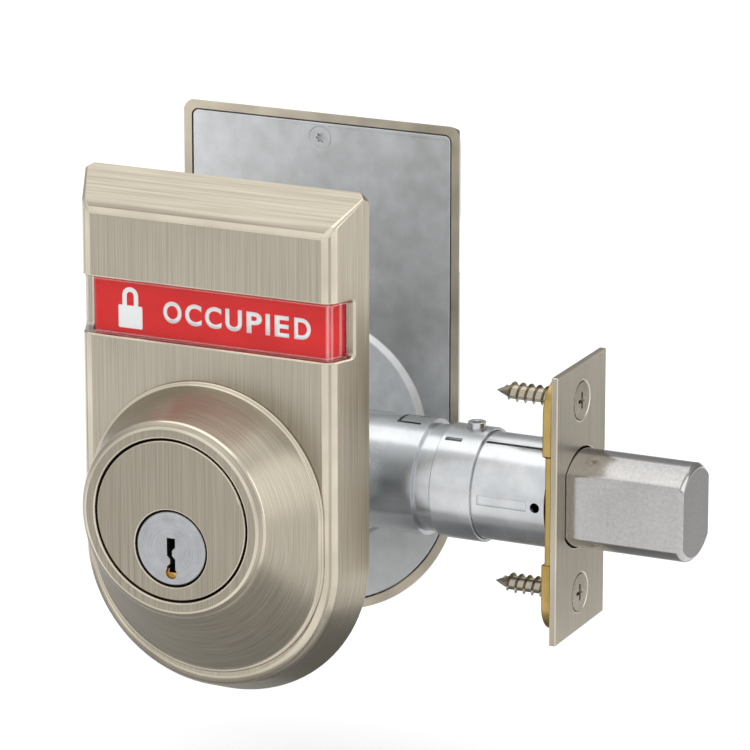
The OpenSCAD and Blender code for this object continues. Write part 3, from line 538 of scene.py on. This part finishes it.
OCCUPIED = (
    ("O", 4.18, 0.84), ("C", 3.75, 0.80), ("C", 3.75, 0.88), ("U", 3.76, 1.05),
    ("P", 3.47, 0.84), ("I", 1.0, 1.05), ("E", 3.26, 1.15), ("D", 3.72, 0.0),
)
VACANT = (
    ("V", 4.0, 0.35), ("A", 4.1, 0.70), ("C", 3.75, 0.55),
    ("A", 4.1, 0.85), ("N", 3.6, 0.70), ("T", 3.6, 0.0),
)
for side in ("outside", "inside"):
    for state, finish, word, x in (
        ("red", label_red, OCCUPIED, OCCUPIED_X), ("green", label_green, VACANT, VACANT_X),
    ):
        node = f"{side}_{state}_label"
        strip = dressed(node, side + "_indicator", state + "_label", finish, edge=0.2)
        inward = 1 if side == "outside" else -1
        bpy.ops.object.mode_set(mode="EDIT")
        for end in (-1, 1):
            pick_points(strip, lambda p: p.x * end > 0 and p.y * inward > -LABEL_FOLD_Y)
            bpy.ops.transform.translate(value=(FOLD_OUT * end * MM, FOLD_ON * inward * MM, 0))
        bpy.ops.object.mode_set(mode="OBJECT")
        smoothed(strip)
        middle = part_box(node)[0].z / MM + LABEL_MID
        letters = state_word(f"{side}_{state}_word", word, x, middle)
        raised = 0.0 if state == "red" else 1.0
        sign = padlock(f"{side}_{state}_padlock", LOCK_X, middle - LOCK_DROP, raised)
        for print_piece in (letters, sign):
            print_piece.data.materials.clear()
            print_piece.data.materials.append(print_white)
            if side == "inside":
                take(print_piece)
                print_piece.rotation_euler = (0, 0, math.pi)
                settled()
            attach(print_piece, side + "_indicator")

# The label carriers: white moulded frames that slide up and down behind the windows. They hold
# the labels, and a crank pin runs in the slot at their lower end.
carrier_white = printed_plastic("carrier_white", (0.66, 0.66, 0.63), (0.76, 0.76, 0.73))


def painted(finish, *nodes):
    """Gives a finish to CAD nodes that stay as they are."""
    for node in nodes:
        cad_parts[node].data.materials.clear()
        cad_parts[node].data.materials.append(finish)


painted(carrier_white, "outside_carrier", "inside_carrier")

# The lock cylinder: a turned brass body, plated and brushed upright on its face, with a round
# recess for the plug. Its shoulder clamps the guard and the escutcheon to the door.
SHELL_R = 17.2
SHELL_FRONT_Y = -46.2
SHELL_GAP = 0.22
RIM_W = 0.55
PLUG_Z = -6.6
PLUG_HOLE_R = 8.35
shell = dressed(
    "cylinder_shell", "housing", "satin_nickel", face_nickel, edge=0.25, rim=polished_edge_painted_highlight,
    where=lambda p: p.y < SHELL_FRONT_Y,
)


def eased(piece, z, radius, by, front):
    """Draws the front rim of a turned piece in, so that the gap round it shows."""
    bpy.ops.object.mode_set(mode="EDIT")
    pick_points(
        piece, lambda p: p.y < front and abs(math.hypot(p.x, p.z - z) - radius) < RIM_W
    )
    widened(1 - by / radius, front, z)
    bpy.ops.object.mode_set(mode="OBJECT")
    smoothed(piece)


eased(shell, FRONT_Z, SHELL_R, SHELL_GAP, SHELL_FRONT_Y)
# The wall round the plug takes the same painted shade, so that the gap round the plug looks dark.
refinished(
    shell, painted_bore_shade,
    lambda p, n: math.hypot(p.x, p.z - PLUG_Z) < PLUG_HOLE_R
    and n.x * p.x + n.z * (p.z - PLUG_Z) < -1,
)

# The plug that the key turns: faced on a lathe, so that rings run round its axis, and then plated
# with nickel. A warded keyway runs through it, and the front pin shows as brass at its foot.
PLUG_R = 8.0
PLUG_FRONT_Y = -47.2
PLUG_GAP = 0.15
plug_steel, place = new_finish("plug_turned_steel")
axis = {"Vector": place, "Location": (0, 0, -PLUG_Z * MM), "Scale": (1, 0, 1)}
centred = place.node("Mapping", {}, axis)
radius = place.node("VectorMath", {"operation": "LENGTH"}, {0: centred}, "Value")
turning = {"W": radius * 5200, "Scale": 1.0, "Detail": 3.0}
rings = place.node("TexNoise", {"noise_dimensions": "1D"}, turning)
sweep = grain(place, (420, 420, 420), 2.0)
turned = rings * 0.65 + sweep * 0.35
shade(plug_steel, place, {
    "Base Color": ramp(turned, (0.3, (0.31, 0.315, 0.325)), (0.7, (0.50, 0.505, 0.52))),
    "Roughness": 0.2 + turned * 0.22,
    "Normal": relief(rings, 0.4, 0.00004),
    "Metallic": 1.0,
})
plug = dressed(
    "key_plug", "plug", "plug_steel", plug_steel, edge=0.2, where=lambda p: p.y < PLUG_FRONT_Y
)
eased(plug, PLUG_Z, PLUG_R, PLUG_GAP, PLUG_FRONT_Y)

# The pins, the strip that covers them and the cap behind the plug: turned and pressed from brass.
# They lie inside the cylinder, and only the foot of the keyway shows their colour.
KEYWAY_FOOT = 5.2
KEYWAY_FOOT_R = 1.25
KEYWAY_FOOT_Y = (-48.3, -46.9)
pin_brass, place = new_finish("pin_brass")
wear = grain(place, (500, 500, 500), 3.0)
shade(pin_brass, place, {
    "Base Color": ramp(wear, (0.3, (0.50, 0.31, 0.09)), (0.7, (0.72, 0.51, 0.21))),
    "Roughness": 0.2 + wear * 0.2,
    "Normal": relief(wear, 0.1, 0.00005),
    "Metallic": 1.0,
})
painted(pin_brass, "bottom_pins", "driver_pins", "spring_cover", "plug_cap")
refinished(
    plug, pin_brass,
    lambda p, n: math.hypot(p.x, p.z - PLUG_Z + KEYWAY_FOOT) < KEYWAY_FOOT_R
    and KEYWAY_FOOT_Y[0] < p.y < KEYWAY_FOOT_Y[1],
)

# The back plates and their screws: steel pressings that the escutcheons are screwed to. Their zinc
# plating is smooth and a little cloudy, and the inside plate has a raised boss round the latch.
BOSS_Y = 21.5
ZINC_PALE = (0.74, 0.755, 0.765)
ZINC_DULL = (0.52, 0.54, 0.552)
PLATE_DULL = (0.49, 0.498, 0.49)


def zinc_plating(name, scale, gloss, light=1.0, metal=1.0, dull=ZINC_DULL, spread=0.2):
    """Zinc plating: cloudy, with fine scratches and dull patches, faint where spread is wide."""
    made, place = new_finish(name)
    cloud = grain(place, (scale, scale, scale), 4.0)
    patch = grain(place, (scale * 4, scale * 4, scale * 4), 3.0)
    scratches = grain(place, (2600, 300, 260), 3.0)
    mark = cloud * 0.55 + patch * 0.38 + scratches * 0.07
    shade(made, place, {
        "Base Color": ramp(
            mark,
            (0.5 - spread, [c * light for c in dull]),
            (0.5 + spread, [c * light for c in ZINC_PALE]),
        ),
        "Roughness": gloss + mark * 0.22,
        "Normal": relief(patch + scratches * 0.4, 0.10, 0.00005),
        "Metallic": metal,
    })
    return made


plate_zinc = zinc_plating("plate_zinc", 70, gloss=0.40, light=1.08, dull=PLATE_DULL, spread=0.3)
# The boss fronts get a paler, less metallic copy of the zinc: painted light on the raised face.
boss_painted_light = zinc_plating("boss_painted_light", 70, gloss=0.46, light=1.22, metal=0.35)
for side, away in (("outside", -1), ("inside", 1)):
    pressing = dressed(side + "_back_plate", "housing", "zinc_plate", plate_zinc, edge=0.2)
    refinished(pressing, boss_painted_light, lambda p, n: n.y * away < -0.9 and p.y * away < BOSS_Y)
    dressed(side + "_plate_screws", "housing", "zinc_plate", plate_zinc, edge=0.08)

# The latch: a rolled tube, the collar that sets its backset, a stud and the case for the crank.
# They are steel pressings with bright zinc plating, and the rolled seams and slots are left open.
GROOVE_X = (51.0, 62.5)
GROOVE_Y = (-11.03, -10.6)
GROOVE_HALF_W = 1.05
GROOVE_DROP = 0.35
tube_zinc = zinc_plating("tube_zinc", 55, gloss=0.13, light=0.90)
dressed("rear_housing", "housing", "zinc_plate", tube_zinc)
tube = dressed("front_tube", "housing", "zinc_plate", tube_zinc, edge=0.12)
bpy.ops.object.mode_set(mode="EDIT")
pick_points(
    tube,
    lambda p: GROOVE_X[0] < p.x < GROOVE_X[1] and GROOVE_Y[0] < p.y < GROOVE_Y[1]
    and abs(p.z) < GROOVE_HALF_W,
)
bpy.ops.transform.translate(value=(0, GROOVE_DROP * MM, 0))
bpy.ops.object.mode_set(mode="OBJECT")
smoothed(tube)
dressed("backset_collar", "housing", "zinc_plate", tube_zinc, edge=0.2)
dressed("collar_stud", "housing", "zinc_plate", tube_zinc, edge=0.15)

# The bolt: a hardened steel bar with two flats and a bevelled end, ground, tumbled and plated with
# nickel. A hard pin lies in it, and its zinc-plated tail is riveted on behind. The pin springs of
# the cylinder are of the same bright steel.
BOLT_FRONT_X = 44.0
bolt_steel, place = new_finish("bolt_steel")
ground = grain(place, (120, 2400, 2400), 2.0)
pits = grain(place, (1500, 1500, 1500), 3.0)
cloud = grain(place, (60, 60, 60), 2.0)
mark = ground * 0.15 + pits * 0.45 + cloud * 0.4
shade(bolt_steel, place, {
    "Base Color": ramp(mark, (0.3, (0.36, 0.35, 0.34)), (0.7, (0.50, 0.488, 0.475))),
    "Roughness": 0.08 + mark * 0.16,
    "Normal": relief(pits + ground * 0.3, 0.06, 0.00006),
    "Metallic": 1.0,
})
dressed("deadbolt", "bolt", "bolt_steel", bolt_steel, edge=0.3, where=lambda p: p.x > BOLT_FRONT_X)
painted(bolt_steel, "anti_saw_pin", "tail_rivet", "pin_springs")
painted(tube_zinc, "bolt_tail")

# The faceplate, cut from brushed nickel-plated strip, with a stamped brass plate behind it that has
# round corners and a thinner middle. Two wood screws hold both to the door's edge.
CAD_CORNER_R = 4.0
CORNER_R = 6.5
BRASS_EDGE = 0.3
edge_nickel = brushed_nickel("nickel_brushed_edge", (160, 5200, 34))
dressed("faceplate", "housing", "satin_nickel", edge_nickel, edge=0.25, rim=polished_edge_painted_highlight)
plate_brass, place = new_finish("plate_brass")
rolled = grain(place, (300, 900, 60), 3.0)
stain = grain(place, (160, 160, 160), 3.0)
tone = rolled * 0.5 + stain * 0.5
shade(plate_brass, place, {
    "Base Color": ramp(tone, (0.3, (0.34, 0.225, 0.062)), (0.7, (0.54, 0.395, 0.150))),
    "Roughness": 0.22 + tone * 0.18,
    "Normal": relief(rolled, 0.15, 0.00005),
    "Metallic": 1.0,
})
backing = dressed("backing_plate", "housing", "brass", plate_brass)
low, high = (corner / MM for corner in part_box("backing_plate"))
grow = CORNER_R / CAD_CORNER_R
bpy.ops.object.mode_set(mode="EDIT")
for y, z in ((low.y, low.z), (low.y, high.z), (high.y, low.z), (high.y, high.z)):
    pick_points(backing, lambda p: max(abs(p.y - y), abs(p.z - z)) < CAD_CORNER_R + 2 * CLOSE)
    bpy.ops.transform.resize(value=(1, grow, grow), center_override=(0, y * MM, z * MM))
rounded(backing, BRASS_EDGE, None)
bpy.ops.object.mode_set(mode="OBJECT")
smoothed(backing)

# The two wood screws: headed and wound from nickel-plated steel wire, with a cross recess.
# They hold the faceplate and the plate behind it to the door's edge.
HEAD_X = 69.85
SCREW_Z = 20.65
SCREW_LEN = 19.0
HEAD_R = 3.95
CORE_R = 1.5
POINT_LEN = 3.4
SCREW_PROFILE = (
    (-0.25, HEAD_R), (-2.4, 2.0), (-3.6, 1.95), (-4.2, CORE_R),
    (POINT_LEN - SCREW_LEN, CORE_R), (1.2 - SCREW_LEN, 0.62), (0.05 - SCREW_LEN, 0.06),
)
CREST_R = 2.13
THREAD_X = -4.0
THREAD_PITCH = 1.87
THREAD_TURNS = 7
THREAD_STEPS = 32
TOOTH_R = 0.5
TOOTH_W = 0.85
TOOTH_H = (CREST_R - CORE_R + 0.1) / (1.5 * TOOTH_R)
TIP_SLIM = 0.12
THREAD_MERGE = 0.001
RECESS_LEN = 3.4
RECESS_ACROSS = 4.7
RECESS_W = 1.05
RECESS_TAPER = 0.5
SCREW_SMOOTH = math.radians(32)


def wood_screw(name):
    """One screw along X on the bolt's axis: countersunk head, cross recess, and a wound thread."""
    bpy.ops.object.select_all(action="DESELECT")
    bpy.ops.mesh.primitive_circle_add(vertices=48, radius=HEAD_R * MM, rotation=(0, math.pi / 2, 0))
    core = bpy.context.object
    core.name = name
    settled()
    bpy.ops.object.mode_set(mode="EDIT")
    bpy.ops.mesh.select_all(action="SELECT")
    bpy.ops.mesh.edge_face_add()
    across, along = HEAD_R, 0.0
    for x, r in SCREW_PROFILE:
        bpy.ops.mesh.extrude_region_move(TRANSFORM_OT_translate={"value": ((x - along) * MM, 0, 0)})
        bpy.ops.transform.resize(value=(1, r / across, r / across), center_override=(x * MM, 0, 0))
        across, along = r, x
    bpy.ops.mesh.select_all(action="SELECT")
    bpy.ops.mesh.normals_make_consistent(inside=False)
    bpy.ops.object.mode_set(mode="OBJECT")
    # the thread: a small triangle wound down the shank
    bpy.ops.object.select_all(action="DESELECT")
    bpy.ops.mesh.primitive_circle_add(vertices=3, radius=TOOTH_R * MM, rotation=(math.pi / 2, 0, 0))
    thread = bpy.context.object
    settled()
    bpy.ops.object.mode_set(mode="EDIT")
    bpy.ops.mesh.select_all(action="SELECT")
    bpy.ops.transform.resize(value=(TOOTH_W, 1, TOOTH_H), center_override=(0, 0, 0))
    bpy.ops.transform.translate(value=(THREAD_X * MM, 0, (CREST_R - TOOTH_R * TOOTH_H) * MM))
    bpy.ops.object.mode_set(mode="OBJECT")
    winding = thread.modifiers.new("winding", "SCREW")
    winding.axis = "X"
    winding.screw_offset = -THREAD_PITCH * MM
    winding.iterations = THREAD_TURNS
    winding.steps = THREAD_STEPS
    winding.render_steps = THREAD_STEPS
    bpy.ops.object.modifier_apply(modifier=winding.name)
    for point in thread.data.vertices:
        left = point.co.x / MM + SCREW_LEN
        if left < POINT_LEN:
            slim = max(TIP_SLIM, left / POINT_LEN)
            point.co.y *= slim
            point.co.z *= slim
    bpy.ops.object.mode_set(mode="EDIT")
    bpy.ops.mesh.select_all(action="SELECT")
    bpy.ops.mesh.remove_doubles(threshold=THREAD_MERGE * MM)
    bpy.ops.mesh.fill_holes(sides=4)
    bpy.ops.mesh.normals_make_consistent(inside=False)
    bpy.ops.object.mode_set(mode="OBJECT")
    # the cross recess: two tapered blades, cut from the head after the thread is joined on
    cutters = [thread]
    for turn in (0.0, math.pi / 2):
        bpy.ops.object.select_all(action="DESELECT")
        bpy.ops.mesh.primitive_cube_add(size=1, rotation=(turn, 0, 0))
        blade = bpy.context.object
        blade.scale = (RECESS_LEN * MM, RECESS_ACROSS * MM, RECESS_W * MM)
        settled()
        bpy.ops.object.mode_set(mode="EDIT")
        pick_points(blade, lambda p: p.x < 0)
        bpy.ops.transform.resize(
            value=(1, RECESS_TAPER, RECESS_TAPER), center_override=(-RECESS_LEN / 2 * MM, 0, 0)
        )
        bpy.ops.object.mode_set(mode="OBJECT")
        cutters.append(blade)
    take(core)
    for cutter, job in zip(cutters, ("UNION", "DIFFERENCE", "DIFFERENCE")):
        cut = core.modifiers.new("cut", "BOOLEAN")
        cut.operation = job
        cut.object = cutter
        cut.solver = "EXACT"
        bpy.ops.object.modifier_apply(modifier=cut.name)
        bpy.data.objects.remove(cutter)
    bpy.ops.object.shade_smooth_by_angle(angle=SCREW_SMOOTH)
    return core


screw_nickel = brushed_nickel("nickel_screws", (150, 150, 150), gloss=0.24)
upper = wood_screw("upper_wood_screw")
upper.data.materials.append(screw_nickel)
lower = bpy.data.objects.new("lower_wood_screw", upper.data.copy())
bpy.context.scene.collection.objects.link(lower)
for screw, z in ((upper, SCREW_Z), (lower, -SCREW_Z)):
    take(screw)
    screw.location = (HEAD_X * MM, 0, z * MM)
    settled()
    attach(screw, "housing")
    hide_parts("faceplate_screws")

# The inside escutcheon, its rose and the thumbturn: castings finished as the outside ones are.
# The turn's shaft runs in the rose, and a spring clip behind it holds it there. Two long steel
# screws go through the rose and the door, and clamp both sides together.
ROSE_FRONT_Y = 43.2
TURN_FRONT_Y = 45.2
inside_trim = cast_trim("inside")
# The rear rim, turned towards the door, gets a lighter copy of the nickel: painted light.
rim_painted_light = brushed_nickel("nickel_rear_rim_painted_light", (120, 120, 120), light=1.5, gloss=0.42)
refinished(inside_trim, rim_painted_light, lambda p, n: n.y < -0.9)
rose = dressed(
    "thumbturn_rose", "housing", "satin_nickel", upright_nickel, edge=0.2, rim=polished_edge_painted_highlight,
    where=lambda p: p.y > ROSE_FRONT_Y,
)
refinished(rose, wall_nickel, lambda p, n: abs(n.y) < 0.8)
turn = dressed(
    "thumbturn", "spindle", "satin_nickel", upright_nickel, edge=0.4, rim=polished_edge_painted_highlight,
    where=lambda p: p.y > TURN_FRONT_Y,
)
refinished(turn, wall_nickel, lambda p, n: abs(n.y) < 0.6)
dressed("through_bolts", "housing", "bolt_steel", bolt_steel, edge=0.1)
painted(bolt_steel, "thumbturn_clip")

# The spindle: a flat steel tailpiece from the plug to the thumbturn, and the zinc-plated cranks on
# it that throw the bolt and lift the labels. They are stamped, and turn together.
painted(bolt_steel, "tailpiece")
painted(tube_zinc, "outside_crank", "inside_crank", "bolt_crank")

# The stage, which isn't part of the object: a pale floor, soft boxes above and to the right, and a
# room that is brighter in front. Grey cards lie just over the floor, where only reflections show
# them, and give the metal its darker bands.
FLOOR_Z = -0.080
FLOOR_SIZE = 12
FLOOR_GLOW = 0.2
MATT = 0.9
CARDS = (
    ("card_under", (-0.16, -0.07), (0.09, 0.20), 0.44, 0.002),
    ("card_bolt", (0.005, -0.03), (0.075, 0.08), 0.24, 0.004),
    ("card_behind", (0.12, 0.12), (0.29, 0.42), 0.44, 0.002),
)
bpy.ops.object.select_all(action="DESELECT")
bpy.ops.mesh.primitive_plane_add(size=FLOOR_SIZE, location=(0, 0, FLOOR_Z))
floor = bpy.context.object
floor.name = "floor"
pale_floor, place = new_finish("pale_floor")
seen = place.node("LightPath", {}, {}, "Is Camera Ray")
mirrored = place.node("LightPath", {}, {}, "Is Glossy Ray")
through = place.node("LightPath", {}, {}, "Is Transmission Ray")
shade(pale_floor, place, {
    "Base Color": (0.80, 0.80, 0.80, 1),
    "Roughness": MATT,
    "Specular IOR Level": 0.1,
    "Emission Color": (1, 1, 1, 1),
    "Emission Strength": (seen + mirrored + through) * FLOOR_GLOW,
})
floor.data.materials.append(pale_floor)

for name, low, high, grey, rise in CARDS:
    card_grey, place = new_finish(name + "_grey")
    shade(card_grey, place, {"Base Color": (grey, grey, grey, 1), "Roughness": MATT})
    bpy.ops.object.select_all(action="DESELECT")
    middle = [(a + b) / 2 for a, b in zip(low, high)]
    bpy.ops.mesh.primitive_plane_add(size=1, location=(*middle, FLOOR_Z + rise))
    card = bpy.context.object
    card.name = name
    card.scale = (high[0] - low[0], high[1] - low[1], 1)
    settled()
    card.data.materials.append(card_grey)
    card.visible_camera = False
    card.visible_diffuse = False
    card.visible_transmission = False
    card.visible_shadow = False

room = bpy.data.worlds.new("grey_room")
bpy.context.scene.world = room
room.use_nodes = True
sky = Tone(room.node_tree, None).node("TexCoord", {}, {}, "Generated")
height = sky.node("SeparateXYZ", {}, {"Vector": sky}, "Z")
behind = sky.node("SeparateXYZ", {}, {"Vector": sky}, "Y")
level = height * 0.2 - behind * 0.35 + 0.5
glow = ramp(level, (0.2, (0.30, 0.30, 0.31)), (0.9, (1.15, 1.15, 1.16)))
sky.feed(room.node_tree.nodes["Background"].inputs["Color"], glow)


def soft_box(name, place, aim, wide, high, level):
    """A rectangular lamp of even brightness, turned to a point."""
    lamp = bpy.data.lights.new(name, "AREA")
    lamp.shape = "RECTANGLE"
    lamp.size = wide
    lamp.size_y = high
    lamp.energy = level * math.pi * wide * high
    holder = bpy.data.objects.new(name, lamp)
    bpy.context.scene.collection.objects.link(holder)
    holder.location = place
    holder.rotation_euler = (Vector(aim) - Vector(place)).to_track_quat("-Z", "Y").to_euler()


soft_box("overhead_box", (0.05, 0.3, 1.2), (0.02, 0, 0.02), wide=1.9, high=1.7, level=0.9)
soft_box("right_box", (1.15, 0.35, 0.35), (0.02, 0, 0.02), wide=0.7, high=0.9, level=1.4)

# The camera stands a metre away, to the right of the outside face and a little above it, as the
# photograph was taken. Its long lens keeps the upright edges nearly parallel.
TURN = math.radians(25.054)
DIP = math.radians(16.169)
AIM = Vector((0.03432, -0.02387, 0.02797))
AWAY = 1.049
LENS_MM = 248.5
SENSOR_MM = 36
camera = bpy.data.objects.new("camera", bpy.data.cameras.new("camera"))
bpy.context.scene.collection.objects.link(camera)
ahead = Vector((-math.sin(TURN) * math.cos(DIP), math.cos(TURN) * math.cos(DIP), -math.sin(DIP)))
camera.location = AIM - ahead * AWAY
camera.rotation_euler = ahead.to_track_quat("-Z", "Y").to_euler()
camera.data.sensor_width = SENSOR_MM
camera.data.lens = LENS_MM
camera.data.clip_end = 30
bpy.context.scene.camera = camera
bpy.context.scene.view_settings.view_transform = "Standard"
